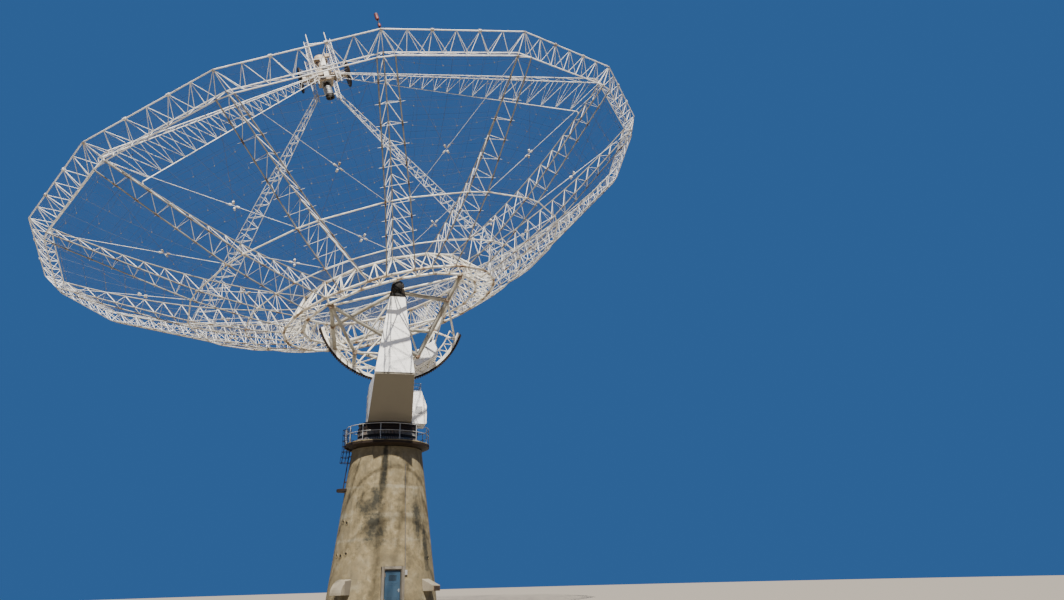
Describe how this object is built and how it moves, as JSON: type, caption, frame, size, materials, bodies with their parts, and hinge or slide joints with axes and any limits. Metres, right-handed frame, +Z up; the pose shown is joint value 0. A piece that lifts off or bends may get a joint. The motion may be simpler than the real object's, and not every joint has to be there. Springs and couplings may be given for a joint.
{
  "type": "radio telescope dish, 1:2 scale model",
  "caption": "Steerable wire-mesh radio dish on a yoke and a round concrete tower, with ribs, a feed quadripod and a turning feed turret, as a half-size model.",
  "frame": {"origin": "on the tower's axis at ground level, on the underside of the tower's floor", "axes": "+Z up; -Y towards the side that the picture shows, along the elevation axis at rest; at rest the dish leans 17 degrees from the zenith towards -X"},
  "size_m": [21.5271, 22.5, 22.4032],
  "materials": {
    "weathered_concrete": "weathered board-marked concrete with dark streaks",
    "galvanised_steel": "dull galvanised tube",
    "white_paint": "aged cream white paint with rust at the joints",
    "taupe_paint": "dull taupe paint",
    "dark_steel": "greasy dark steel",
    "gear_steel": "worn toothed steel with grease and rust",
    "wire_mesh": "fine square wire mesh, seen through",
    "feed_metal": "matt grey metal",
    "blue_paint": "faded blue paint with rust"
  },
  "bodies": {
    "tower": {"tower_wall_front_left": "weathered_concrete", "tower_wall_front_right": "weathered_concrete", "tower_wall_over_door": "weathered_concrete", "tower_wall_back_left": "weathered_concrete", "tower_wall_back_right": "weathered_concrete", "tower_floor": "weathered_concrete", "gallery_slab": "weathered_concrete", "gallery_railing": "galvanised_steel", "balcony": "weathered_concrete", "tower_ladder": "galvanised_steel", "door_frame": "weathered_concrete", "left_hood": "weathered_concrete", "right_hood": "weathered_concrete"},
    "door": {"tower_door": "blue_paint"},
    "yoke": {"slewing_drum": "dark_steel", "yoke_base": "taupe_paint", "machine_cabin": "white_paint", "near_arm": "white_paint", "far_arm": "white_paint", "near_bearing": "dark_steel", "far_bearing": "dark_steel", "elevation_drive": "dark_steel"},
    "dish": {"hub_truss": "white_paint", "rib_00": "white_paint", "rib_01": "white_paint", "rib_02": "white_paint", "rib_03": "white_paint", "rib_04": "white_paint", "rib_05": "white_paint", "rib_06": "white_paint", "rib_07": "white_paint", "rib_08": "white_paint", "rib_09": "white_paint", "rib_10": "white_paint", "rib_11": "white_paint", "rib_12": "white_paint", "rib_13": "white_paint", "rib_14": "white_paint", "rib_15": "white_paint", "rim_truss_1": "white_paint", "rim_truss_2": "white_paint", "rim_truss_3": "white_paint", "rim_truss_4": "white_paint", "reflector_mesh_1": "wire_mesh", "reflector_mesh_2": "wire_mesh", "reflector_mesh_3": "wire_mesh", "reflector_mesh_4": "wire_mesh", "inner_ring_beam": "white_paint", "outer_ring_beam": "white_paint", "feed_leg_1": "white_paint", "feed_leg_2": "white_paint", "feed_leg_3": "white_paint", "feed_leg_4": "white_paint", "apex_frame": "white_paint", "cradle_frame": "white_paint", "bull_gear": "gear_steel", "counterweight": "white_paint"},
    "feed": {"feed_turret": "feed_metal", "horn_feed": "feed_metal"}
  },
  "joints": [
    {"name": "azimuth_turn", "type": "hinge", "parent": "tower", "child": "yoke", "pos_m": [0, 0, 5.4506], "axis": [0, 0, 1], "range_deg": [-270, 270]},
    {"name": "elevation_tilt", "type": "hinge", "parent": "yoke", "child": "dish", "pos_m": [0, 0, 10.535], "axis": [0, -1, 0], "range_deg": [-37, 56]},
    {"name": "feed_turn", "type": "hinge", "parent": "dish", "child": "feed", "pos_m": [-3.1345, 0, 20.66095], "axis": [0, -1, 0], "range_deg": [-180, 180]},
    {"name": "door_swing", "type": "hinge", "parent": "tower", "child": "door", "pos_m": [-0.02088, -1.73759, 0.6], "axis": [0, 0, -1], "range_deg": [0, 90]}
  ]
}
